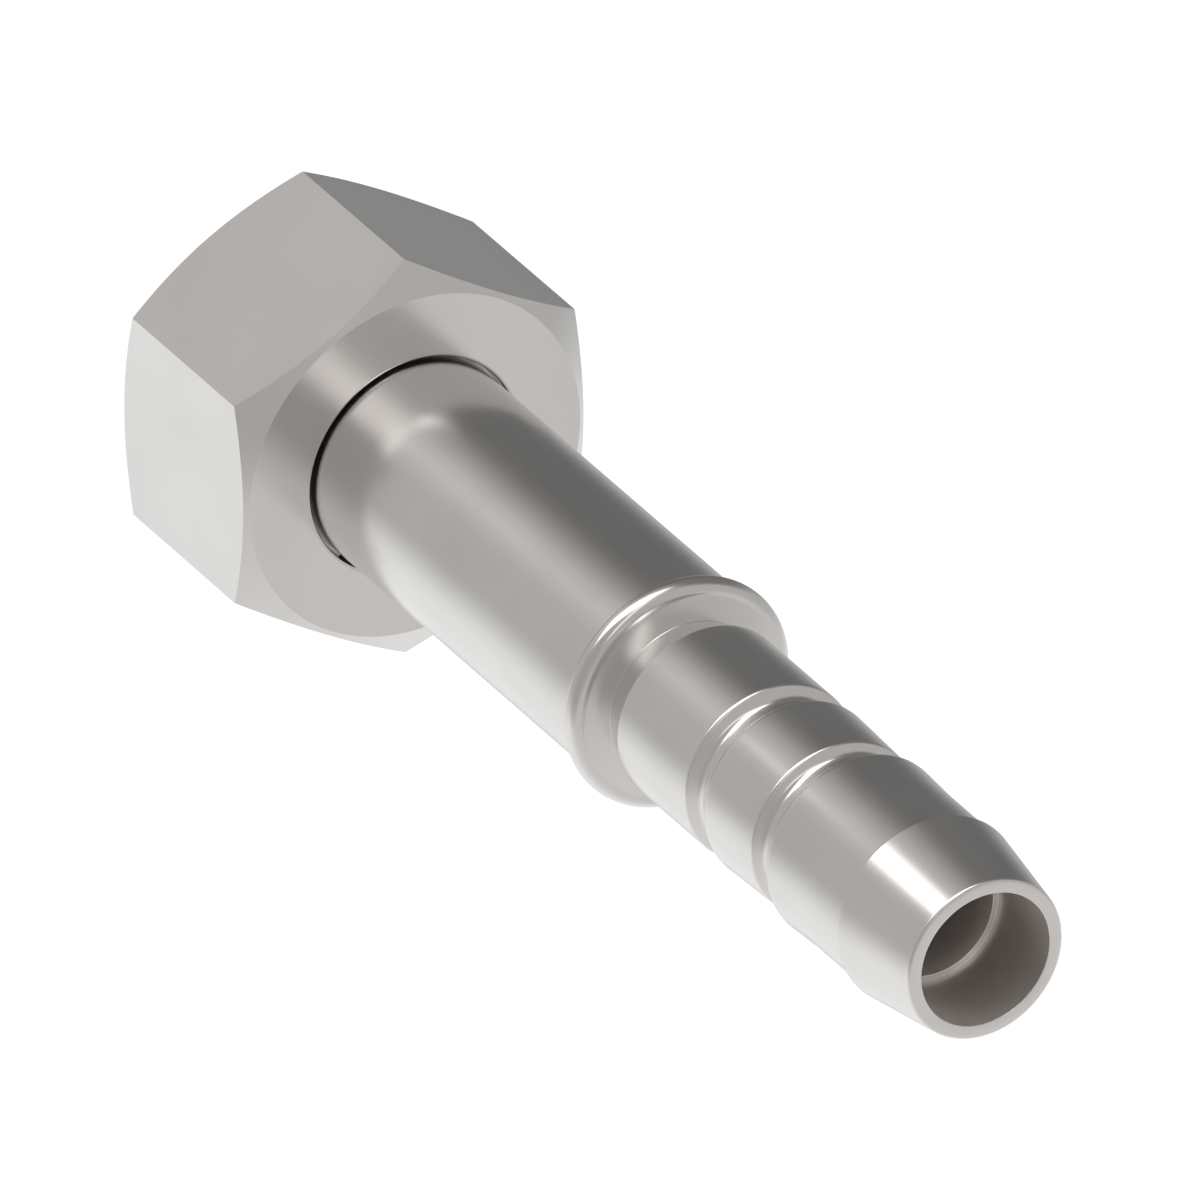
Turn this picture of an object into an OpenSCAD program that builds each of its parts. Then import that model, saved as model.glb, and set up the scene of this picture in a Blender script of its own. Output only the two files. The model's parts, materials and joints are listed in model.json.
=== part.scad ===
// Hydraulic hose fitting: a turned one-piece stem with a barbed tail for the
// hose, and a hexagon nut that turns freely on its head. It stands on the
// mouth of the nut, with +Z along the stem towards the end that enters the hose.

/* [Overall] */
// Length of the whole fitting; the neck takes up what the other parts leave
overall_length = 94.7; // [80:0.1:120]

/* [Swivel nut] */
// Width across the flats of the hexagon
nut_across_flats = 27; // [26.5:0.5:30]
// Length of the nut along its axis
nut_length = 17; // [16.6:0.2:20]
// Diameter of the flat end faces, inside the corner chamfers
nut_face_d = 26.2; // [25:0.1:26.4]
// Slope of the corner chamfers, measured from the end faces
chamfer_angle = 30; // [15:1:40]
// Major diameter of the port thread, at which its bore is drawn
thread_d = 20.96; // [20:0.02:21.4]
// Depth of the threaded bore from the mouth
thread_depth = 8.6; // [7.5:0.1:8.7]
// Diameter of the countersink at the mouth
mouth_countersink_d = 22.4; // [21.8:0.1:23.4]
// Diameter of the run-out groove behind the thread
runout_d = 21.8; // [21.5:0.1:22.4]
// Thickness of the rear wall that carries the retaining wire
rear_wall = 4.4; // [4:0.1:4.8]
// Break of the edge at the rear bore
rear_rim_round = 0.25; // [0.1:0.05:0.4]

/* [Swivel] */
// Radial gap between the neck of the stem and the rear bore of the nut
swivel_gap = 0.25; // [0.1:0.05:0.4]
// Thickness of the retaining wire
wire_d = 2; // [1.6:0.1:2.2]
// Clearance round the wire in its two half-round races
wire_clearance = 0.05; // [0.02:0.01:0.1]
// Distance of the wire from the rear face of the nut
wire_setback = 2.3; // [2:0.1:2.6]
// Part of a turn that the wire fills, in degrees
wire_turn = 340; // [300:5:350]
// Clearance of the feed hole round the wire
feed_clearance = 0.1; // [0.05:0.05:0.2]
// Direction of the feed hole round the nut, in degrees
feed_angle = -30; // [-30:60:270]

/* [Sealing head] */
// Half of the 60 degree angle of the sealing cone
cone_half_angle = 30; // [26:1:34]
// Diameter of the flat at the tip of the cone
cone_tip_d = 11; // [10:0.1:12]
// Straight land between the cone and the race of the wire
head_land = 0.3; // [0.2:0.05:0.5]
// Thickness of the sealing ring
ring_d = 1.6; // [1.4:0.05:1.8]
// Depth of the ring groove below the cone, measured at its edge towards the neck
ring_groove_depth = 1.75; // [1.7:0.01:1.9]
// Clearance of the sealing ring in its groove
ring_clearance = 0.05; // [0.02:0.01:0.1]
// Distance of the ring groove from the large end of the cone
ring_setback = 0.35; // [0.2:0.05:0.5]

/* [Neck and collar] */
// Diameter of the neck
neck_d = 16; // [15.6:0.1:16.6]
// Diameter of the collar
collar_d = 17.45; // [17.2:0.05:19]
// Radius of the rounded edge of the collar, half its thickness
collar_round = 0.85; // [0.7:0.05:1.1]
// Slope of the collar's face towards its foot, measured from square to the axis
collar_face_slope = 12.5; // [6:0.5:16]
// Radius of the bend where the slope of the face begins
collar_face_bend = 1.2; // [0.6:0.1:2]
// Diameter at the foot of the collar, where the lead cone begins
collar_foot_d = 11.9; // [11.6:0.1:12.4]

/* [Hose tail] */
// Diameter at the bottom of the two grooves between the lands
groove_d = 11.6; // [11.2:0.1:12]
// Length of the ferrule groove, from the collar to the first land
ferrule_groove_length = 2.75; // [2.4:0.05:4]
// Diameter of the first land
land_1_d = 13.46; // [13.2:0.02:13.8]
// Length of the first land
land_1_length = 9.19; // [6:0.01:12]
// Width of the two grooves between the lands
groove_width = 2.26; // [2:0.01:3]
// Diameter of the second land at the nut side
land_2_d = 13.64; // [13.4:0.02:14]
// Diameter of the second land at the hose side
land_2_end_d = 13.2; // [13:0.02:13.4]
// Length of the second land
land_2_length = 6.49; // [5:0.01:9]
// Diameter of the third land at the nut side
land_3_d = 14; // [13.8:0.02:14.2]
// Diameter of the straight part of the third land
land_3_end_d = 13.65; // [13.4:0.02:13.8]
// Length of the tapered part of the third land
land_3_taper = 4.15; // [3:0.05:6]
// Length of the straight part of the third land
land_3_straight = 6.15; // [4:0.05:8]
// Largest diameter of the nose
nose_d = 14.25; // [14:0.05:14.6]
// Diameter of the nose at its end
nose_end_d = 12.1; // [11.8:0.05:12.6]
// Length of the nose
nose_length = 7.75; // [6:0.05:10]

/* [Edges of the tail] */
// Radius at the edge where the lead cone meets the first land
lead_edge_round = 0.1; // [0.05:0.01:0.2]
// Radius at the edge where a land ends at a groove
land_end_round = 0.27; // [0.1:0.01:0.3]
// Slope of the flank below that edge, measured from square to the axis
flank_slope = 32.5; // [20:0.5:36]
// Radius at the bottom of that flank
flank_fillet = 0.65; // [0.3:0.05:0.7]
// Radius at the edge where the next land starts
land_start_round = 0.65; // [0.3:0.05:0.8]
// Radius at the foot of that edge
groove_fillet = 0.2; // [0.1:0.05:0.25]
// Radius at the rim of the nose
nose_round = 0.25; // [0.1:0.05:0.4]

/* [Bores] */
// Diameter of the flow bore through the stem
flow_bore_d = 8.5; // [7:0.1:9]
// Diameter of the wider bore at the hose end
tail_bore_d = 10.05; // [9.7:0.05:10.4]
// Depth of the wider bore
tail_bore_depth = 6.4; // [4:0.1:10]
// Chamfer at the edges of the flow bore
bore_chamfer = 0.2; // [0.1:0.05:0.3]

/* [Hidden] */
$fn = 96;

steel = [0.74, 0.73, 0.71];
spring_steel = [0.6, 0.6, 0.6];
seal_rubber = [0.08, 0.08, 0.08];
corner_steps = 6;
cut_margin = 1;
edge_share = 0.9;
straight_angle = 180;

neck_r = neck_d / 2;
rear_bore_r = neck_r + swivel_gap;
hex_corner_r = nut_across_flats / 2 / cos(30);
wire_r = wire_d / 2;
race_r = wire_r + wire_clearance;
wire_ring_r = neck_r + swivel_gap / 2;
wire_z = nut_length - wire_setback;
cone_base_z = wire_z - race_r - head_land;
cone_tip_z = cone_base_z - (neck_r - cone_tip_d / 2) / tan(cone_half_angle);
ring_groove_top = cone_base_z - ring_setback;
ring_groove_bottom = ring_groove_top - ring_d - 2 * ring_clearance;
ring_groove_r = cone_r(ring_groove_top) - ring_groove_depth;
ring_z = (ring_groove_top + ring_groove_bottom) / 2;
tail_length = ferrule_groove_length + land_1_length + land_2_length + 2 * groove_width
    + land_3_taper + land_3_straight + nose_length;
collar_face_z = overall_length - tail_length;
collar_z = collar_face_z - collar_round;
collar_ring_r = collar_d / 2 - collar_round;
face_bend_r = collar_ring_r - collar_face_bend * tan(collar_face_slope / 2) / edge_share;
foot_z = collar_face_z + (face_bend_r - collar_foot_d / 2) * tan(collar_face_slope);
land_1_z = collar_face_z + ferrule_groove_length;
groove_1_z = land_1_z + land_1_length;
land_2_z = groove_1_z + groove_width;
groove_2_z = land_2_z + land_2_length;
land_3_z = groove_2_z + groove_width;
straight_z = land_3_z + land_3_taper;
nose_z = straight_z + land_3_straight;
tail_z = nose_z + nose_length;

// Radius of the sealing cone at a height
function cone_r(z) = neck_r - (cone_base_z - z) * tan(cone_half_angle);

function unit(v) = v / norm(v);

// Points that round one corner of an outline; a radius of 0 keeps it sharp
function rounded(before, corner, after, radius) =
    radius == 0 ? [corner] :
    let (
        back = unit(before - corner),
        ahead = unit(after - corner),
        half = acos(back * ahead) / 2,
        centre = corner + unit(back + ahead) * radius / sin(half),
        start = corner + back * radius / tan(half) - centre,
        end = corner + ahead * radius / tan(half) - centre,
        sweep = straight_angle - 2 * half,
        turn = start.x * end.y - start.y * end.x > 0 ? 1 : -1
    )
    [for (i = [0 : corner_steps])
        let (a = turn * sweep * i / corner_steps)
        centre + [start.x * cos(a) - start.y * sin(a), start.x * sin(a) + start.y * cos(a)]];

// Closed outline from corners given as [radius from the axis, height, rounding]
function outline(corners) =
    let (n = len(corners))
    [for (i = [0 : n - 1])
        let (
            before = corners[(i + n - 1) % n],
            here = corners[i],
            after = corners[(i + 1) % n]
        )
        each rounded([before.x, before.y], [here.x, here.y], [after.x, after.y], here.z)];

// Rounding of a land's edge, as far as the height of the land leaves room for it
function edge_round(wanted, land_d) =
    min(wanted, edge_share * ((land_d - groove_d) / 2 - groove_fillet));

// Corners of one groove between two lands: a sloping flank, the bottom and a square flank
function groove_corners(z, end_d, start_d) = [
    [end_d / 2, z, land_end_round],
    [groove_d / 2, z + (end_d - groove_d) / 2 * tan(flank_slope), flank_fillet],
    [groove_d / 2, z + groove_width, groove_fillet],
    [start_d / 2, z + groove_width, edge_round(land_start_round, start_d)]
];

stem_corners = concat(
    [
        [flow_bore_d / 2 + bore_chamfer, cone_tip_z, 0],
        [cone_tip_d / 2, cone_tip_z, 0],
        [cone_r(ring_groove_bottom), ring_groove_bottom, 0],
        [ring_groove_r, ring_groove_bottom, 0],
        [ring_groove_r, ring_groove_top, 0],
        [cone_r(ring_groove_top), ring_groove_top, 0],
        [neck_r, cone_base_z, 0],
        [neck_r, collar_z, 0],
        [collar_ring_r, collar_z, 0],
        [collar_ring_r, collar_face_z, 0],
        [face_bend_r, collar_face_z, collar_face_bend],
        [collar_foot_d / 2, foot_z, 0],
        [land_1_d / 2, land_1_z, lead_edge_round]
    ],
    groove_corners(groove_1_z, land_1_d, land_2_d),
    groove_corners(groove_2_z, land_2_end_d, land_3_d),
    [
        [land_3_end_d / 2, straight_z, 0],
        [land_3_end_d / 2, nose_z, 0],
        [nose_d / 2, nose_z, 0],
        [nose_end_d / 2, tail_z, nose_round],
        [tail_bore_d / 2, tail_z, 0],
        [tail_bore_d / 2, tail_z - tail_bore_depth, 0],
        [flow_bore_d / 2 + bore_chamfer, tail_z - tail_bore_depth, 0],
        [flow_bore_d / 2, tail_z - tail_bore_depth - bore_chamfer, 0],
        [flow_bore_d / 2, cone_tip_z + bore_chamfer, 0]
    ]
);

// Everything that the nut holds: mouth, thread bore, run-out and rear bore
nut_bore_corners = [
    [0, -cut_margin, 0],
    [mouth_countersink_d / 2 + cut_margin, -cut_margin, 0],
    [thread_d / 2, (mouth_countersink_d - thread_d) / 2, 0],
    [thread_d / 2, thread_depth, 0],
    [runout_d / 2, thread_depth + (runout_d - thread_d) / 2, 0],
    [runout_d / 2, nut_length - rear_wall, 0],
    [rear_bore_r, nut_length - rear_wall, 0],
    [rear_bore_r, nut_length, 0],
    [0, nut_length, 0]
];

module ring_section(r, z, section_r) {
    translate([r, z])
        circle(r = section_r, $fn = 48);
}

module wire_race() {
    rotate_extrude()
        ring_section(wire_ring_r, wire_z, race_r);
}

module hose_stem() {
    color(steel)
        difference() {
            rotate_extrude() {
                polygon(outline(stem_corners));
                ring_section(collar_ring_r, collar_z, collar_round);
            }
            wire_race();
        }
}

module chamfered_hexagon() {
    rise = (hex_corner_r + cut_margin - nut_face_d / 2) * tan(chamfer_angle);
    intersection() {
        rotate([0, 0, 30])
            linear_extrude(nut_length)
                circle(r = hex_corner_r, $fn = 6);
        rotate_extrude()
            polygon([
                [0, 0],
                [nut_face_d / 2, 0],
                [hex_corner_r + cut_margin, rise],
                [hex_corner_r + cut_margin, nut_length - rise],
                [nut_face_d / 2, nut_length],
                [0, nut_length]
            ]);
    }
}

// Rounds the edge between the rear bore and the rear face
module rear_rim() {
    difference() {
        translate([0, -rear_rim_round])
            square([rear_bore_r + rear_rim_round, rear_rim_round + cut_margin]);
        translate([rear_bore_r + rear_rim_round, -rear_rim_round])
            circle(r = rear_rim_round, $fn = 32);
    }
}

// Hole along which the retaining wire is pushed in, tangent to its race
module feed_hole() {
    rotate([0, 0, feed_angle])
        translate([0, -wire_ring_r, wire_z])
            rotate([0, 90, 0])
                cylinder(r = wire_r + feed_clearance, h = hex_corner_r);
}

module swivel_nut() {
    color(steel)
        difference() {
            chamfered_hexagon();
            rotate_extrude()
                polygon(outline(nut_bore_corners));
            translate([0, 0, nut_length])
                rotate_extrude()
                    rear_rim();
            wire_race();
            feed_hole();
        }
}

module thrust_wire() {
    color(spring_steel)
        rotate([0, 0, feed_angle + 90 - wire_turn / 2])
            rotate_extrude(angle = wire_turn)
                ring_section(wire_ring_r, wire_z, wire_r);
}

module o_ring() {
    color(seal_rubber)
        rotate_extrude()
            ring_section(ring_groove_r + ring_clearance + ring_d / 2, ring_z, ring_d / 2);
}

hose_stem();
swivel_nut();
thrust_wire();
o_ring();
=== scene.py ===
import json
import math

import bpy
import bmesh
from mathutils import Matrix, Vector

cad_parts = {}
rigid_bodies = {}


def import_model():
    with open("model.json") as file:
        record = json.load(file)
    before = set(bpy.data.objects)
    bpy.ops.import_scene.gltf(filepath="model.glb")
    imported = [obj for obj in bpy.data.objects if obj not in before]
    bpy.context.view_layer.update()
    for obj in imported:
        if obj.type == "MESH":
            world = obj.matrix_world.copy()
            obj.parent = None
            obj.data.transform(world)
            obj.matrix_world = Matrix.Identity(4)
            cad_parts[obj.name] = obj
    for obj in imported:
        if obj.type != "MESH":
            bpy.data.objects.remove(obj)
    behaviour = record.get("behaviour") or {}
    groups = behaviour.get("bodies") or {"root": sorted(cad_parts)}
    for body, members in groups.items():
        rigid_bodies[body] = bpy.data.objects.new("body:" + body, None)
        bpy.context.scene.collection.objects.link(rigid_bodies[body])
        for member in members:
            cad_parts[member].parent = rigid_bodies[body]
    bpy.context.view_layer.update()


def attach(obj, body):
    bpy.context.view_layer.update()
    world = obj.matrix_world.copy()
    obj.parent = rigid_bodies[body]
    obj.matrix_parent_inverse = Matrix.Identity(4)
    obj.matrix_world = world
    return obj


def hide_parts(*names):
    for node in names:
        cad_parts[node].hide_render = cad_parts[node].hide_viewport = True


# Hydraulic hose fitting, standing on the mouth of its nut, +Z towards the hose end.
# Sizes are in millimetres here and become metres in the meshes.

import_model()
mm = 0.001


# Node trees: a Wire is an output socket, and sums on wires add Math nodes

class Wire:
    def __init__(self, tree, socket):
        self.tree = tree
        self.socket = socket

    def other(self, name):
        return Wire(self.tree, self.socket.node.outputs[name])

    def math(self, operation, *values):
        return self.tree.math(operation, self, *values)

    def __add__(self, value):
        return self.math("ADD", value)

    def __radd__(self, value):
        return self.tree.math("ADD", value, self)

    def __sub__(self, value):
        return self.math("SUBTRACT", value)

    def __rsub__(self, value):
        return self.tree.math("SUBTRACT", value, self)

    def __mul__(self, value):
        return self.math("MULTIPLY", value)

    def __rmul__(self, value):
        return self.tree.math("MULTIPLY", value, self)

    def __truediv__(self, value):
        return self.math("DIVIDE", value)

    def __rtruediv__(self, value):
        return self.tree.math("DIVIDE", value, self)

    def __mod__(self, value):
        return self.math("FLOORED_MODULO", value)

    def __rmod__(self, value):
        return self.tree.math("FLOORED_MODULO", value, self)


class Tree:
    def __init__(self, nodeTree):
        self.data = nodeTree
        self.data.nodes.clear()

    # A node's settings come first, then the values or wires of its sockets
    def add(self, kind, settings=None, inputs=None, out=0):
        node = self.data.nodes.new(kind)
        for key, value in (settings or {}).items():
            setattr(node, key, value)
        for key, value in (inputs or {}).items():
            self.feed(node.inputs[key], value)
        return Wire(self, node.outputs[out]) if len(node.outputs) else node

    def feed(self, socket, value):
        if isinstance(value, Wire):
            self.data.links.new(value.socket, socket)
        else:
            socket.default_value = value

    def math(self, operation, *values):
        return self.add("ShaderNodeMath", {"operation": operation}, dict(enumerate(values)))


# Outlines: a corner is (radius from the axis, height, rounding)

def roundedCorner(before, corner, after, radius, steps):
    if radius == 0:
        return [corner]
    back = (before - corner).normalized()
    ahead = (after - corner).normalized()
    half = math.acos(max(-1, min(1, back.dot(ahead)))) / 2
    centre = corner + (back + ahead).normalized() * (radius / math.sin(half))
    start = corner + back * (radius / math.tan(half)) - centre
    end = corner + ahead * (radius / math.tan(half)) - centre
    turn = 1 if start.cross(end) > 0 else -1
    sweep = turn * (math.pi - 2 * half)
    return [centre + Matrix.Rotation(sweep * i / steps, 2) @ start for i in range(steps + 1)]


# The first and the last corner are each other's neighbours
def outline(corners, steps=6):
    flat = [Vector(corner[:2]) for corner in corners]
    points = []
    for i, corner in enumerate(corners):
        after = flat[(i + 1) % len(flat)]
        points += roundedCorner(flat[i - 1], flat[i], after, corner[2], steps)
    return points


# Points on a circle round a centre, between two angles in degrees, 0 pointing outwards
def arcPoints(centre, radius, start, end, steps):
    points = []
    for i in range(steps + 1):
        t = math.radians(start + (end - start) * i / steps)
        points.append(Vector((centre[0] + radius * math.cos(t), centre[1] + radius * math.sin(t))))
    return points


# A closed chain of points as a mesh object, which a node tree turns into a surface
def profilePiece(name, points, values=None):
    mesh = bpy.data.meshes.new(name)
    edges = [(i, (i + 1) % len(points)) for i in range(len(points))]
    mesh.from_pydata([(p.x * mm, 0, p.y * mm) for p in points], edges, [])
    for key, numbers in (values or {}).items():
        mesh.attributes.new(key, "FLOAT", "POINT").data.foreach_set("value", numbers)
    piece = bpy.data.objects.new(name, mesh)
    bpy.context.scene.collection.objects.link(piece)
    return piece


# A geometry tree with named inputs: its group, its wrapper and its group input
def surfaceTree(name, inputs):
    group = bpy.data.node_groups.new(name, "GeometryNodeTree")
    group.interface.new_socket("Geometry", in_out="INPUT", socket_type="NodeSocketGeometry")
    for label, kind in inputs:
        group.interface.new_socket(label, in_out="INPUT", socket_type=kind)
    group.interface.new_socket("Geometry", in_out="OUTPUT", socket_type="NodeSocketGeometry")
    tree = Tree(group)
    return group, tree, tree.add("NodeGroupInput")


# A grid with one row for each profile point and one column for each step of the turn.
# Also gives each grid point's row, and how far round it lies from 0 to 1.
def profileGrid(tree, entry):
    steps = entry.other("Steps")
    count = tree.add("GeometryNodeAttributeDomainSize", {"component": "MESH"}, {
        "Geometry": entry.other("Geometry")}, "Point Count")
    columns = steps + 1
    grid = tree.add("GeometryNodeMeshGrid", {}, {"Vertices X": count + 1, "Vertices Y": columns})
    index = tree.add("GeometryNodeInputIndex")
    row = (index / columns).math("FLOOR") % count
    return grid, row, index % columns / steps


# A value of the profile point that a row stands for
def sampled(tree, entry, row, kind, value):
    return tree.add("GeometryNodeSampleIndex", {"data_type": kind, "domain": "POINT"}, {
        "Geometry": entry.other("Geometry"), "Value": value, "Index": row})


def sampledPlace(tree, entry, row):
    place = sampled(tree, entry, row, "FLOAT_VECTOR", tree.add("GeometryNodeInputPosition"))
    return tree.add("ShaderNodeSeparateXYZ", {}, {0: place})


def sampledMark(tree, entry, row, name):
    mark = tree.add("GeometryNodeInputNamedAttribute", {"data_type": "FLOAT"}, {"Name": name})
    return sampled(tree, entry, row, "FLOAT", mark)


# Places the grid by radius, angle and height, and joins its seam and its poles
def finishGrid(tree, grid, radius, angle, height, material):
    seamGap = 0.0005 * mm
    place = tree.add("ShaderNodeCombineXYZ", {}, {
        0: radius * angle.math("COSINE"), 1: radius * angle.math("SINE"), 2: height})
    placed = tree.add("GeometryNodeSetPosition", {}, {"Geometry": grid, "Position": place})
    merged = tree.add("GeometryNodeMergeByDistance", {}, {"Geometry": placed, "Distance": seamGap})
    finishTree(tree, merged, material)


def finishTree(tree, shape, material):
    realized = tree.add("GeometryNodeRealizeInstances", {}, {"Geometry": shape})
    painted = tree.add("GeometryNodeSetMaterial", {}, {"Geometry": realized, "Material": material})
    tree.add("NodeGroupOutput", {}, {"Geometry": painted})


# Turns a profile round the axis. Points marked onHexagon follow the flats, and those
# marked rise follow the corner chamfers, up or down.
def turningTree():
    group, tree, entry = surfaceTree("TurnProfile", [
        ("Steps", "NodeSocketInt"), ("Apothem", "NodeSocketFloat"), ("Face Radius", "NodeSocketFloat"),
        ("Chamfer Slope", "NodeSocketFloat"), ("Material", "NodeSocketMaterial")])
    grid, row, turned = profileGrid(tree, entry)
    angle = turned * math.tau
    point = sampledPlace(tree, entry, row)
    onHexagon = sampledMark(tree, entry, row, "onHexagon")
    rise = sampledMark(tree, entry, row, "rise")
    sixth = math.tau / 6
    sector = (angle + sixth / 2) % sixth - sixth / 2
    hexRadius = entry.other("Apothem") / sector.math("COSINE")
    turnedRadius = point.other("X")
    radius = turnedRadius + onHexagon * (hexRadius - turnedRadius)
    slope = entry.other("Chamfer Slope")
    height = point.other("Z") + rise * (hexRadius - entry.other("Face Radius")) * slope
    finishGrid(tree, grid, radius, angle, height, entry.other("Material"))
    return group


# Winds a ridge profile along a helix. The ridge sinks into the wall at both ends of the helix,
# and cones at the start and the end trim it too.
def threadTree():
    group, tree, entry = surfaceTree("WindThread", [
        ("Steps", "NodeSocketInt"), ("Wall Radius", "NodeSocketFloat"), ("Pitch", "NodeSocketFloat"),
        ("Start", "NodeSocketFloat"), ("End", "NodeSocketFloat"), ("Trim Slope", "NodeSocketFloat"),
        ("Depth", "NodeSocketFloat"), ("Material", "NodeSocketMaterial")])
    runIn = 0.35      # of the pitch, from each end to the middle of the ridge
    sinkTurns = 0.25  # over which the ridge sinks at each end
    pitch = entry.other("Pitch")
    start = entry.other("Start")
    end = entry.other("End")
    trimSlope = entry.other("Trim Slope")
    turns = (end - start) / pitch - 2 * runIn
    grid, row, turned = profileGrid(tree, entry)
    wound = turned * turns
    point = sampledPlace(tree, entry, row)
    height = start + (wound + runIn) * pitch + point.other("Z")
    fromStart = share(tree, wound, 0, sinkTurns)
    fromEnd = share(tree, turns - wound, 0, sinkTurns)
    ridge = point.other("X") - (1 - fromStart * fromEnd) * entry.other("Depth")
    trimmed = ridge.math("MINIMUM", (height - start) * trimSlope)
    trimmed = trimmed.math("MINIMUM", (end - height) * trimSlope)
    radius = entry.other("Wall Radius") - trimmed
    finishGrid(tree, grid, radius, wound * math.tau, height, entry.other("Material"))
    return group


# Part of a ring of round wire
def ringTree():
    group, tree, entry = surfaceTree("BendRing", [
        ("Ring Radius", "NodeSocketFloat"), ("Section Radius", "NodeSocketFloat"),
        ("Height", "NodeSocketFloat"), ("Turn", "NodeSocketFloat"), ("Start", "NodeSocketFloat"),
        ("Ring Points", "NodeSocketInt"), ("Section Points", "NodeSocketInt"),
        ("Material", "NodeSocketMaterial")])
    path = tree.add("GeometryNodeCurveArc", {"mode": "RADIUS"}, {
        "Resolution": entry.other("Ring Points"), "Radius": entry.other("Ring Radius"),
        "Start Angle": entry.other("Start"), "Sweep Angle": entry.other("Turn")})
    section = tree.add("GeometryNodeCurvePrimitiveCircle", {"mode": "RADIUS"}, {
        "Resolution": entry.other("Section Points"), "Radius": entry.other("Section Radius")})
    swept = tree.add("GeometryNodeCurveToMesh", {}, {
        "Curve": path, "Profile Curve": section, "Fill Caps": True})
    lift = tree.add("ShaderNodeCombineXYZ", {}, {2: entry.other("Height")})
    lifted = tree.add("GeometryNodeTransform", {}, {"Geometry": swept, "Translation": lift})
    finishTree(tree, lifted, entry.other("Material"))
    return group


# Rises smoothly from 0 at the low value to 1 at the high one
def share(tree, value, low, high):
    return tree.add("ShaderNodeMapRange", {"interpolation_type": "SMOOTHSTEP"}, {
        0: value, 1: low, 2: high})


# Runs a tree on a piece with the given inputs and bakes the result into a plain mesh
def grow(piece, group, values):
    modifier = piece.modifiers.new(group.name, "NODES")
    modifier.node_group = group
    for item in group.interface.items_tree:
        if item.item_type == "SOCKET" and item.in_out == "INPUT" and item.name in values:
            modifier[item.identifier] = values[item.name]
    bake(piece)


def bake(piece):
    bpy.context.view_layer.update()
    graph = bpy.context.evaluated_depsgraph_get()
    mesh = bpy.data.meshes.new_from_object(piece.evaluated_get(graph), depsgraph=graph)
    mesh.name = piece.name
    piece.modifiers.clear()
    piece.data = mesh


# Turns faces outwards and shades smooth except over edges sharper than the angle,
# which keeps the nut's chamfer of 30 degrees crisp
def cleanSurface(piece, sharpAngle=24):
    shape = bmesh.new()
    shape.from_mesh(piece.data)
    bmesh.ops.recalc_face_normals(shape, faces=shape.faces)
    shape.to_mesh(piece.data)
    shape.free()
    piece.data.shade_smooth()
    piece.data.set_sharp_from_angle(angle=math.radians(sharpAngle))
    weighted = piece.modifiers.new("EvenShading", "WEIGHTED_NORMAL")
    weighted.keep_sharp = True
    bake(piece)


# Gives the faces that pass a test a second material
def paintFaces(piece, material, test):
    piece.data.materials.append(material)
    index = len(piece.data.materials) - 1
    for face in piece.data.polygons:
        if test(face.center, face.normal):
            face.material_index = index


turnProfile = turningTree()
windThread = threadTree()
bendRing = ringTree()
print("node trees ready")


# Finishes, and in the bores a paler steel colour that is painted light

steelLook = {
    "colour": (0.752, 0.745, 0.732),
    "roughness": 0.2, "roughnessSpread": 0.04,
    "markSpacing": 0.09,    # between tool marks, mm
    "markDepth": 0.0002,    # mm
    "markDetail": 3,
    "markDrift": 0.7,       # how soon turned marks change on their way round
    "markRun": 90,          # how soon drawn marks change along the axis
    "blotchSize": 9.0,      # slow changes over the surface, mm
    "blotchDetail": 2, "blotchRange": (0.3, 0.7), "shadeRange": (0.97, 1.03),
}
# The bores get a rougher finish, and a paler, warmer colour than the same steel outside. That colour is
# painted light, brightening the bores' shade.
boredLookPaintedLight = {**steelLook, "colour": (0.88, 0.845, 0.815), "roughness": 0.55}
reamedLookPaintedLight = {**steelLook, "colour": (0.92, 0.885, 0.86), "roughness": 0.5}
springLook = {**steelLook, "colour": (0.6, 0.59, 0.58), "roughness": 0.3}

rubberLook = {
    "dark": (0.012, 0.012, 0.013, 1), "pale": (0.03, 0.03, 0.031, 1),
    "roughness": 0.5, "roughnessSpread": 0.2,
    "grainScale": 6000, "grainDetail": 2, "grainDepth": 0.02, "grainStrength": 0.4,   # depth in mm
    "bloomScale": 250, "bloomDetail": 3,
}


def newMaterial(name):
    material = bpy.data.materials.new(name)
    material.use_nodes = True
    return material, Tree(material.node_tree)


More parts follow.
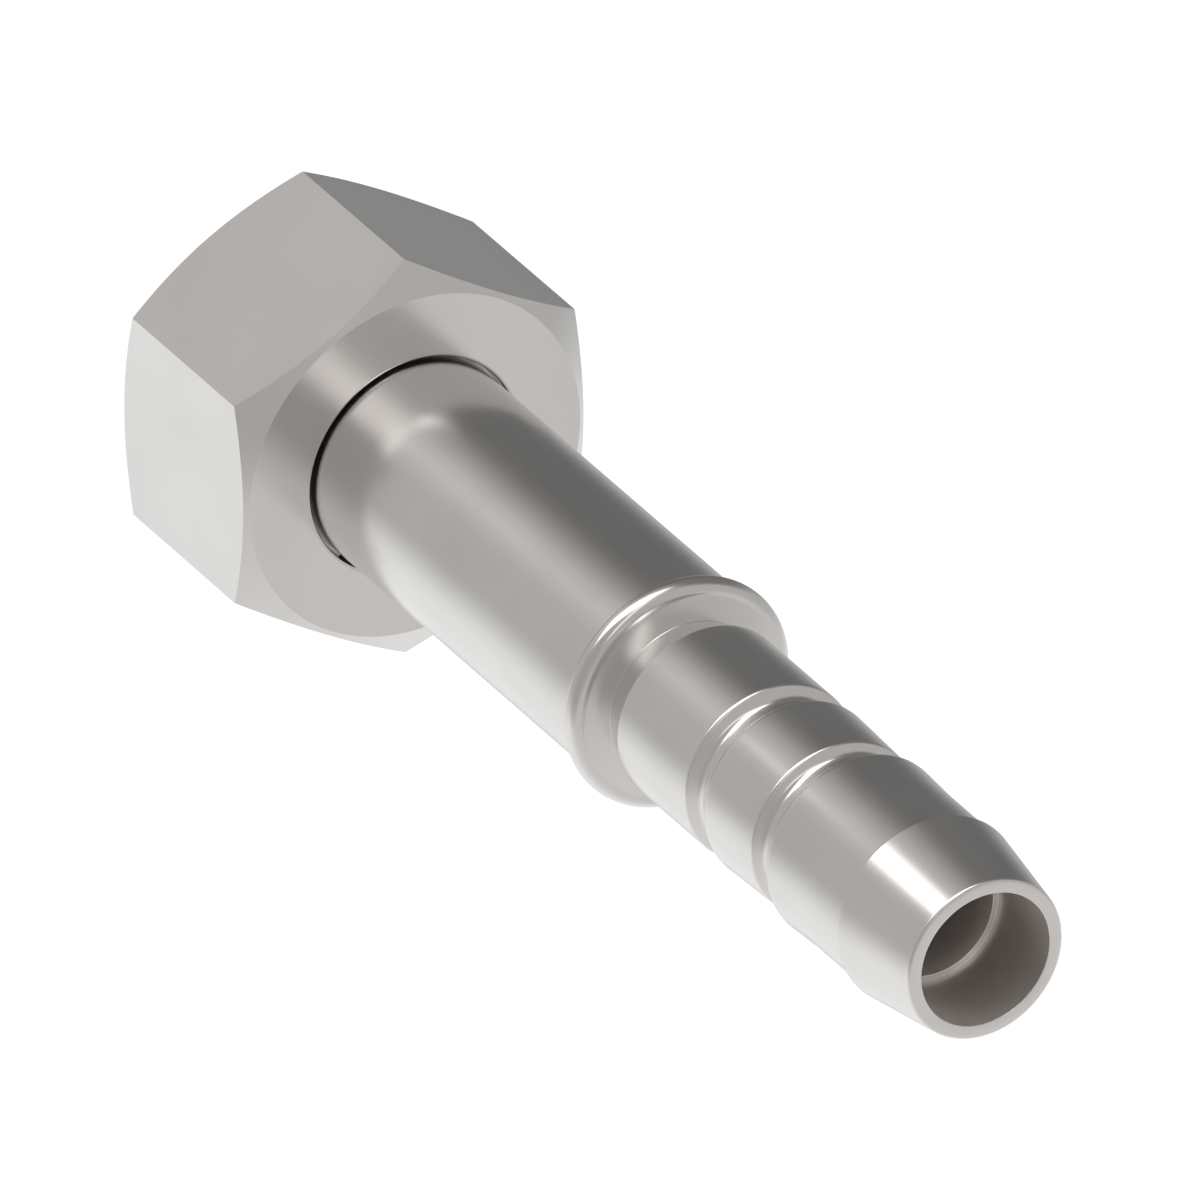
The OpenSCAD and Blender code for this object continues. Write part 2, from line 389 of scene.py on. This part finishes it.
# Steel with fine marks left by the tool, round the axis if turned and along it if drawn
def steelMaterial(name, look, turned):
    material, tree = newMaterial(name)
    place = tree.add("ShaderNodeTexCoord", {}, {}, "Object")
    parts = tree.add("ShaderNodeSeparateXYZ", {}, {0: place})
    x = parts.other("X")
    y = parts.other("Y")
    z = parts.other("Z")
    perMark = 1 / (look["markSpacing"] * mm)
    if turned:
        radius = (x * x + y * y).math("SQRT")
        angle = y.math("ARCTAN2", x)
        drift = angle * look["markDrift"]
        pattern = tree.add("ShaderNodeCombineXYZ", {}, {0: radius * perMark, 1: z * perMark, 2: drift})
    else:
        run = z * look["markRun"]
        pattern = tree.add("ShaderNodeCombineXYZ", {}, {0: x * perMark, 1: y * perMark, 2: run})
    marks = tree.add("ShaderNodeTexNoise", {}, {
        "Vector": pattern, "Scale": 1, "Detail": look["markDetail"]})
    blotches = tree.add("ShaderNodeTexNoise", {}, {
        "Vector": place, "Scale": 1 / (look["blotchSize"] * mm), "Detail": look["blotchDetail"]})
    low, high = look["blotchRange"]
    darker, lighter = look["shadeRange"]
    shade = tree.add("ShaderNodeMapRange", {}, {0: blotches, 1: low, 2: high, 3: darker, 4: lighter})
    colour = tree.add("ShaderNodeVectorMath", {"operation": "SCALE"}, {0: look["colour"], "Scale": shade})
    spread = look["roughnessSpread"]
    roughness = look["roughness"] + (blotches - 0.5) * spread + (marks - 0.5) * spread
    bump = tree.add("ShaderNodeBump", {}, {
        "Strength": 1, "Distance": look["markDepth"] * mm, "Height": marks}, "Normal")
    surface = tree.add("ShaderNodeBsdfPrincipled", {}, {
        "Base Color": colour, "Metallic": 1, "Roughness": roughness, "Normal": bump})
    tree.add("ShaderNodeOutputMaterial", {}, {"Surface": surface})
    return material


def rubberMaterial(name, look):
    material, tree = newMaterial(name)
    place = tree.add("ShaderNodeTexCoord", {}, {}, "Object")
    grain = tree.add("ShaderNodeTexNoise", {}, {
        "Vector": place, "Scale": look["grainScale"], "Detail": look["grainDetail"]})
    bloom = tree.add("ShaderNodeTexNoise", {}, {
        "Vector": place, "Scale": look["bloomScale"], "Detail": look["bloomDetail"]})
    bump = tree.add("ShaderNodeBump", {}, {
        "Strength": look["grainStrength"], "Distance": look["grainDepth"] * mm, "Height": grain}, "Normal")
    colour = tree.add("ShaderNodeMix", {"data_type": "RGBA"}, {
        0: bloom, 6: look["dark"], 7: look["pale"]}, 2)
    surface = tree.add("ShaderNodeBsdfPrincipled", {}, {
        "Base Color": colour, "Roughness": look["roughness"] + (grain - 0.5) * look["roughnessSpread"],
        "Normal": bump})
    tree.add("ShaderNodeOutputMaterial", {}, {"Surface": surface})
    return material


turnedSteel = steelMaterial("turnedSteel", steelLook, True)
drawnSteel = steelMaterial("drawnSteel", steelLook, False)
boredSteelPaintedLight = steelMaterial("boredSteelPaintedLight", boredLookPaintedLight, True)
reamedSteelPaintedLight = steelMaterial("reamedSteelPaintedLight", reamedLookPaintedLight, True)
springSteel = steelMaterial("springSteel", springLook, True)
sealRubber = rubberMaterial("sealRubber", rubberLook)
print("finishes ready")


# Stem: R is a radius, Z a height over the nut's mouth, slopes are in degrees

stem = {
    "neckR": 8.0,
    "wireRingR": 8.125, "wireZ": 14.7, "raceR": 1.05, "raceSteps": 24,
    "coneBaseZ": 13.35, "coneTipZ": 9.02, "coneTipR": 5.5,
    "ringGrooveR": 6.048, "ringGrooveZ": (11.3, 13.0),
    "collarZ": 52.85, "collarR": 8.725, "collarRound": 0.85, "collarSteps": 32,
    "faceBendR": 7.729, "faceSlope": 12.5, "faceBend": 1.2, "footR": 5.95, "footFillet": 0.04,
    "grooveR": 5.8, "flankSlope": 32.5, "flankFillet": 0.65, "grooveFillet": 0.2,
    "land1": (56.45, 65.64, 6.73, 6.73),    # start and end heights, start and end radii
    "land2": (67.9, 74.39, 6.82, 6.6),
    "land3": (76.65, 80.8, 7.0, 6.825),
    "noseZ": (86.95, 94.7), "noseR": (7.125, 6.05),
    "leadEdge": 0.1, "landStart": 0.65, "landEnd": 0.27, "noseRound": 0.25, "edgeBreak": 0.06,
    "flowBoreR": 4.25, "tailBoreR": 5.025, "boreChamfer": 0.2,
    "stepZ": 87.85, "stepR": 4.6, "taperZ": 86.0,       # inner edge of the step, and end of its taper
    "flowFacing": 0.5, "tailFacing": 0.9,               # least share of a wall's normal towards the axis
    "wallMargin": 0.01,
    "steps": 288,
}


def coneRadius(z):
    slope = (stem["neckR"] - stem["coneTipR"]) / (stem["coneBaseZ"] - stem["coneTipZ"])
    return stem["neckR"] - (stem["coneBaseZ"] - z) * slope


# The sealing cone with its groove, from the bore's chamfer to the neck
def headPoints():
    fine = stem["edgeBreak"]
    grooveLow, grooveHigh = stem["ringGrooveZ"]
    return outline([
        (stem["flowBoreR"], stem["coneTipZ"] + stem["boreChamfer"], 0),
        (stem["flowBoreR"] + stem["boreChamfer"], stem["coneTipZ"], fine),
        (stem["coneTipR"], stem["coneTipZ"], fine),
        (coneRadius(grooveLow), grooveLow, fine),
        (stem["ringGrooveR"], grooveLow, fine),
        (stem["ringGrooveR"], grooveHigh, fine),
        (coneRadius(grooveHigh), grooveHigh, fine),
        (stem["neckR"], stem["coneBaseZ"], 0),
    ])


# The wire's race, the neck and the rounded edge of the collar
def neckPoints():
    neckR = stem["neckR"]
    half = math.degrees(math.acos((neckR - stem["wireRingR"]) / stem["raceR"]))
    race = arcPoints(
        (stem["wireRingR"], stem["wireZ"]), stem["raceR"], -half, half - 360, stem["raceSteps"])
    ringR = stem["collarR"] - stem["collarRound"]
    lead = math.degrees(math.acos((neckR - ringR) / stem["collarRound"]))
    collar = arcPoints((ringR, stem["collarZ"]), stem["collarRound"], -lead, 90, stem["collarSteps"])
    return race + collar


# From the collar's face over the lands to the nose, and back through the bores
def tailPoints():
    fine = stem["edgeBreak"]
    start1, end1, startR1, endR1 = stem["land1"]
    start2, end2, startR2, endR2 = stem["land2"]
    start3, end3, startR3, endR3 = stem["land3"]
    grooveR = stem["grooveR"]
    flank = math.tan(math.radians(stem["flankSlope"]))
    faceZ = stem["collarZ"] + stem["collarRound"]
    footR = stem["footR"]
    footZ = faceZ + (stem["faceBendR"] - footR) * math.tan(math.radians(stem["faceSlope"]))
    return outline([
        (stem["collarR"] - stem["collarRound"], faceZ, 0),
        (stem["faceBendR"], faceZ, stem["faceBend"]),
        (footR, footZ, stem["footFillet"]),
        (startR1, start1, stem["leadEdge"]),
        (endR1, end1, stem["landEnd"]),
        (grooveR, end1 + (endR1 - grooveR) * flank, stem["flankFillet"]),
        (grooveR, start2, stem["grooveFillet"]),
        (startR2, start2, stem["landStart"]),
        (endR2, end2, stem["landEnd"]),
        (grooveR, end2 + (endR2 - grooveR) * flank, stem["flankFillet"]),
        (grooveR, start3, stem["grooveFillet"]),
        (startR3, start3, stem["landStart"]),
        (endR3, end3, 0),
        (endR3, stem["noseZ"][0], fine),
        (stem["noseR"][0], stem["noseZ"][0], fine),
        (stem["noseR"][1], stem["noseZ"][1], stem["noseRound"]),
        (stem["tailBoreR"], stem["noseZ"][1], fine),
        (stem["tailBoreR"], stem["stepZ"], fine),
        (stem["stepR"], stem["stepZ"], fine),
        (stem["flowBoreR"], stem["taperZ"], 0),
    ])[1:]


def facesAxis(place, normal, least):
    return normal.xy.dot(place.xy) < -least * place.xy.length


def inFlowBore(place, normal):
    return place.xy.length < stem["stepR"] * mm and facesAxis(place, normal, stem["flowFacing"])


def inTailBore(place, normal):
    outerR = (stem["tailBoreR"] + stem["wallMargin"]) * mm
    between = stem["stepR"] * mm < place.xy.length < outerR
    return between and facesAxis(place, normal, stem["tailFacing"])


stemPiece = profilePiece("stem", headPoints() + neckPoints() + tailPoints())
grow(stemPiece, turnProfile, {"Steps": stem["steps"], "Material": turnedSteel})
cleanSurface(stemPiece)
# The bore walls get the rougher steel whose paler colour is painted light
paintFaces(stemPiece, boredSteelPaintedLight, inFlowBore)
paintFaces(stemPiece, reamedSteelPaintedLight, inTailBore)
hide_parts("hose_stem")
print("stem:", len(stemPiece.data.polygons), "faces")


# Swivel nut

nut = {
    "acrossFlats": 27.0, "length": 17.0, "faceR": 13.1, "chamfer": 30,
    "threadR": 10.48, "mouthR": 11.2, "threadDepth": 8.6,
    "runoutR": 10.9, "runoutFillet": 0.15,
    "shoulderZ": 12.6, "rearBoreR": 8.25, "rearRound": 0.25, "edgeBreak": 0.06,
    "wireRingR": 8.125, "wireZ": 14.7, "raceR": 1.05, "raceSteps": 24,
    "feedR": 1.1, "feedAngle": -30, "feedSteps": 64,
    "flatTilt": 0.1, "flatMargin": 0.05,    # what still counts as a flat: tilt of the normal, mm
    "steps": 288,
}


# The nut's outline from the mouth through the bore to the rear face, then down the outside
def nutProfile():
    fine = nut["edgeBreak"]
    length = nut["length"]
    half = math.degrees(math.acos((nut["rearBoreR"] - nut["wireRingR"]) / nut["raceR"]))
    race = arcPoints(
        (nut["wireRingR"], nut["wireZ"]), nut["raceR"], -half, half, nut["raceSteps"])
    countersink = nut["mouthR"] - nut["threadR"]
    bore = outline([
        (nut["faceR"], 0, 0),
        (nut["mouthR"], 0, fine),
        (nut["threadR"], countersink, fine),
        (nut["threadR"], nut["threadDepth"], 0),
        (nut["runoutR"], nut["threadDepth"] + nut["runoutR"] - nut["threadR"], 0),
        (nut["runoutR"], nut["shoulderZ"], nut["runoutFillet"]),
        (nut["rearBoreR"], nut["shoulderZ"], fine),
        (nut["rearBoreR"], nut["wireZ"], 0),
    ])[:-1]
    rim = outline([
        (nut["rearBoreR"], nut["wireZ"], 0),
        (nut["rearBoreR"], length, nut["rearRound"]),
        (nut["faceR"], length, 0),
    ])[1:]
    outside = [Vector((nut["faceR"], length)), Vector((nut["faceR"], 0))]
    turned = bore + race + rim
    plain = [0.0] * len(turned)
    return turned + outside, {"onHexagon": plain + [1.0, 1.0], "rise": plain + [-1.0, 1.0]}


# A drill for the hole through which the thrust wire is pushed into its race
def drillPiece():
    depth = nut["acrossFlats"]
    corners = ((0, 0), (nut["feedR"], 0), (nut["feedR"], depth), (0, depth))
    drill = profilePiece("drill", [Vector(corner) for corner in corners])
    grow(drill, turnProfile, {"Steps": nut["feedSteps"], "Material": turnedSteel})
    aim = Matrix.Rotation(math.radians(nut["feedAngle"]), 4, "Z")
    aim = aim @ Matrix.Translation((0, -nut["wireRingR"] * mm, nut["wireZ"] * mm))
    drill.data.transform(aim @ Matrix.Rotation(math.radians(90), 4, "Y"))
    return drill


points, marks = nutProfile()
nutPiece = profilePiece("nut", points, marks)
grow(nutPiece, turnProfile, {
    "Steps": nut["steps"], "Apothem": nut["acrossFlats"] / 2 * mm, "Face Radius": nut["faceR"] * mm,
    "Chamfer Slope": math.tan(math.radians(nut["chamfer"])), "Material": turnedSteel})
drill = drillPiece()
feedHole = nutPiece.modifiers.new("FeedHole", "BOOLEAN")
feedHole.object = drill
feedHole.operation = "DIFFERENCE"
bake(nutPiece)
bpy.data.objects.remove(drill)
print("nut body:", len(nutPiece.data.polygons), "faces")


# Port thread inside the nut, a 55 degree ridge of pipe thread form

thread = {
    "pitch": 1.814, "depth": 1.162, "halfAngle": 27.5,
    "crestPart": 12,         # half the crest's flat goes this often into the pitch
    "crestSoft": 0.12,       # how softly the flanks bend into the crest, mm
    "rootDepth": 0.12,       # how deep the ridge is set into the wall, mm
    "trimSlope": 1.3,
    "sink": 1.2,             # of the depth, by which the ends of the ridge go down
    "flankSteps": 8, "stepsPerTurn": 96,
}


# Height of the ridge above the bore wall at a distance along the axis from its crest
def ridgeHeight(offset):
    lead = math.tan(math.radians(thread["halfAngle"]))
    apex = thread["depth"] + thread["pitch"] / thread["crestPart"] / lead
    straight = apex - abs(offset) / lead
    soft = thread["crestSoft"]
    top = thread["depth"] - soft * math.log(1 + math.exp((thread["depth"] - straight) / soft))
    return max(0, top)


def threadPoints():
    half = thread["pitch"] / 2
    steps = thread["flankSteps"]
    offsets = [-half + half * i / steps for i in range(2 * steps + 1)]
    ridge = [Vector((ridgeHeight(offset), offset)) for offset in offsets]
    buried = -thread["rootDepth"]
    return [Vector((buried, -half))] + ridge + [Vector((buried, half))]


threadTurns = (nut["threadDepth"] - nut["mouthR"] + nut["threadR"]) / thread["pitch"]
threadPiece = profilePiece("thread", threadPoints())
grow(threadPiece, windThread, {
    "Steps": round(threadTurns * thread["stepsPerTurn"]), "Wall Radius": nut["threadR"] * mm,
    "Pitch": thread["pitch"] * mm, "Start": (nut["mouthR"] - nut["threadR"]) * mm,
    "End": nut["threadDepth"] * mm, "Trim Slope": thread["trimSlope"],
    "Depth": thread["sink"] * thread["depth"] * mm, "Material": turnedSteel})
print("thread:", len(threadPiece.data.polygons), "faces")


# The ridge becomes part of the nut, and the flats get the finish of drawn bar
def addShape(piece, other):
    shape = bmesh.new()
    shape.from_mesh(piece.data)
    shape.from_mesh(other.data)
    shape.to_mesh(piece.data)
    shape.free()
    bpy.data.objects.remove(other)


def onFlat(place, normal):
    upright = abs(normal.z) < nut["flatTilt"]
    return upright and place.xy.length > (nut["acrossFlats"] / 2 - nut["flatMargin"]) * mm


addShape(nutPiece, threadPiece)
cleanSurface(nutPiece)
paintFaces(nutPiece, drawnSteel, onFlat)
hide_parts("swivel_nut")
print("nut:", len(nutPiece.data.polygons), "faces")


# Thrust wire, with its gap opposite the middle of its turn

wire = {
    "ringR": 8.125, "z": 14.7, "sectionR": 1.0,
    "turn": 340, "middle": 60,
    "ringPoints": 181, "sectionPoints": 32,
}

wirePiece = profilePiece("thrustWire", [])    # the tree makes all of its shape
grow(wirePiece, bendRing, {
    "Ring Radius": wire["ringR"] * mm, "Section Radius": wire["sectionR"] * mm,
    "Height": wire["z"] * mm, "Turn": math.radians(wire["turn"]),
    "Start": math.radians(wire["middle"] - wire["turn"] / 2),
    "Ring Points": wire["ringPoints"], "Section Points": wire["sectionPoints"],
    "Material": springSteel})
cleanSurface(wirePiece)
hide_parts("thrust_wire")
print("thrust wire:", len(wirePiece.data.polygons), "faces")


# Sealing ring on the cone

seal = {"ringR": 6.898, "z": 12.15, "sectionR": 0.8, "sectionSteps": 32, "steps": 180}

sealPoints = arcPoints((seal["ringR"], seal["z"]), seal["sectionR"], 0, 360, seal["sectionSteps"])
sealPiece = profilePiece("sealRing", sealPoints[:-1])
grow(sealPiece, turnProfile, {"Steps": seal["steps"], "Material": sealRubber})
cleanSurface(sealPiece)
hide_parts("o_ring")
print("sealing ring:", len(sealPiece.data.polygons), "faces")

for piece, body in ((stemPiece, "stem"), (sealPiece, "stem"), (nutPiece, "nut"), (wirePiece, "nut")):
    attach(piece, body)


# Camera

camera = {
    "back": (-0.4330127, 0.5, 0.75),
    "up": (0.25, 0.8660254, -0.4330127),
    "target": (1.22, 0.59, 40.31),    # mm
    "width": 82.19,                   # mm across the picture at the target
    "lens": 1690.0, "sensor": 36.0,   # mm, so long that parallel edges stay nearly parallel
    "clip": (0.001, 10),              # shares of the distance
}


def addCamera():
    back = Vector(camera["back"]).normalized()
    up = Vector(camera["up"]).normalized()
    side = up.cross(back)
    distance = camera["width"] * camera["lens"] / camera["sensor"] * mm
    near, far = camera["clip"]
    data = bpy.data.cameras.new("camera")
    data.sensor_width = camera["sensor"]
    data.lens = camera["lens"]
    data.clip_start = near * distance
    data.clip_end = far * distance
    holder = bpy.data.objects.new("camera", data)
    bpy.context.scene.collection.objects.link(holder)
    turn = Matrix((side, up, back)).transposed().to_4x4()
    holder.matrix_world = Matrix.Translation(Vector(camera["target"]) * mm + back * distance) @ turn
    bpy.context.scene.camera = holder


addCamera()
print("camera ready")


# Surroundings: a pale floor, and a soft studio that the metal shows. A card is aimed by azimuth
# and elevation, and all its angles are in degrees.

studio = {
    "floorSize": 6.0,                                        # m
    "floorGlow": 0.97, "floorColour": (0.2, 0.2, 0.2, 1),
    "neutral": (1.0, 1.0, 1.0, 1), "warm": (1.045, 1.0, 0.98, 1),
    "warmSide": (-0.45, 0.6, 0.66), "warmFrom": (-0.5, 0.05),
    "sky": 0.51,
    # A wall that comes in between the shares of -Y under edge, and goes over to its upper level
    # between the shares of +Z under rise
    "wall": {"level": 0.97, "upper": 0.62, "rise": (-0.4, 1.15), "edge": (0.05, 0.56)},
    "side": {"level": 0.42, "aim": (162, 28), "reach": (20, 55)},
    "corner": {"level": 0.5, "aim": (-22, -56), "reach": (12, 36)},
    "shade": {"level": 0.165, "aim": (37, -46), "reach": (14, 47)},
    "shadeTop": {"level": 0.2, "aim": (44, -4), "reach": (16, 42)},
    "glow": {"level": 0.66, "aim": (122, -62), "reach": (4, 18)},
    "softbox": {"level": 2.6, "aim": (107, -5.5), "half": (16.5, 33), "lean": 45, "soft": 8},
    "lamp": {"level": 1.4, "aim": (110, 45), "half": (18, 5), "lean": 32, "soft": 7},
    "cardFront": (0, 0.1),    # keeps a card from showing behind its aim too
}


def addFloor():
    half = studio["floorSize"] / 2
    corners = [(-half, -half, 0), (half, -half, 0), (half, half, 0), (-half, half, 0)]
    mesh = bpy.data.meshes.new("floor")
    mesh.from_pydata(corners, [], [(0, 1, 2, 3)])
    material, tree = newMaterial("paleFloor")
    glow = tree.add("ShaderNodeEmission", {}, {"Color": (1, 1, 1, 1), "Strength": studio["floorGlow"]})
    matt = tree.add("ShaderNodeBsdfDiffuse", {}, {"Color": studio["floorColour"]})
    seen = tree.add("ShaderNodeAddShader", {}, {0: glow, 1: matt})
    tree.add("ShaderNodeOutputMaterial", {}, {"Surface": seen})
    mesh.materials.append(material)
    floor = bpy.data.objects.new("floor", mesh)
    bpy.context.scene.collection.objects.link(floor)
    floor.visible_glossy = False     # the metal shows the studio in its place
    floor.visible_diffuse = False


def aimVector(aim):
    azimuth, elevation = (math.radians(angle) for angle in aim)
    flat = math.cos(elevation)
    return Vector((flat * math.cos(azimuth), flat * math.sin(azimuth), math.sin(elevation)))


def along(tree, ray, axis):
    return tree.add("ShaderNodeVectorMath", {"operation": "DOT_PRODUCT"}, {0: ray, 1: axis}, "Value")


# Share of a round card at a ray: full inside the first angle of its reach, none outside the second
def roundCard(tree, ray, card):
    inner, outer = (math.cos(math.radians(angle)) for angle in card["reach"])
    return share(tree, along(tree, ray, aimVector(card["aim"])), outer, inner)


# Share of a rectangular card, turned by its lean about its own aim
def squareCard(tree, ray, card):
    aim = aimVector(card["aim"])
    across = Vector((0, 0, 1)).cross(aim).normalized()
    upwards = aim.cross(across)
    turn = Matrix.Rotation(math.radians(card["lean"]), 3, aim)
    mask = share(tree, along(tree, ray, aim), *studio["cardFront"])
    for axis, half in zip((turn @ across, turn @ upwards), card["half"]):
        outer, inner = (math.sin(math.radians(half + side * card["soft"] / 2)) for side in (1, -1))
        mask = mask * share(tree, along(tree, ray, axis).math("ABSOLUTE"), outer, inner)
    return mask


def blended(level, other, mask):
    return level + (other - level) * mask


def addSurroundings():
    world = bpy.data.worlds.new("studio")
    world.use_nodes = True
    bpy.context.scene.world = world
    tree = Tree(world.node_tree)
    ray = tree.add("ShaderNodeTexCoord", {}, {}, "Generated")
    wall = studio["wall"]
    height = along(tree, ray, (0, 0, 1))
    wallLevel = blended(wall["level"], wall["upper"], share(tree, height, *wall["rise"]))
    towards = along(tree, ray, (0, -1, 0))
    level = blended(studio["sky"], wallLevel, share(tree, towards, *wall["edge"]))
    for name in ("side", "corner", "shade", "shadeTop", "glow"):
        card = studio[name]
        level = blended(level, card["level"], roundCard(tree, ray, card))
    for name in ("softbox", "lamp"):
        card = studio[name]
        level = blended(level, card["level"], squareCard(tree, ray, card))
    warmth = share(tree, along(tree, ray, studio["warmSide"]), *studio["warmFrom"])
    tint = tree.add("ShaderNodeMix", {"data_type": "RGBA"}, {
        0: warmth, 6: studio["neutral"], 7: studio["warm"]}, 2)
    seen = tree.add("ShaderNodeLightPath", {}, {}, "Is Camera Ray")
    studioLight = tree.add("ShaderNodeBackground", {}, {"Color": tint, "Strength": level})
    white = tree.add("ShaderNodeBackground", {}, {"Color": (1, 1, 1, 1), "Strength": 1})
    light = tree.add("ShaderNodeMixShader", {}, {0: seen, 1: studioLight, 2: white})
    tree.add("ShaderNodeOutputWorld", {}, {"Surface": light})


addFloor()
addSurroundings()
bpy.context.scene.view_settings.view_transform = "Standard"

print("scene ready")
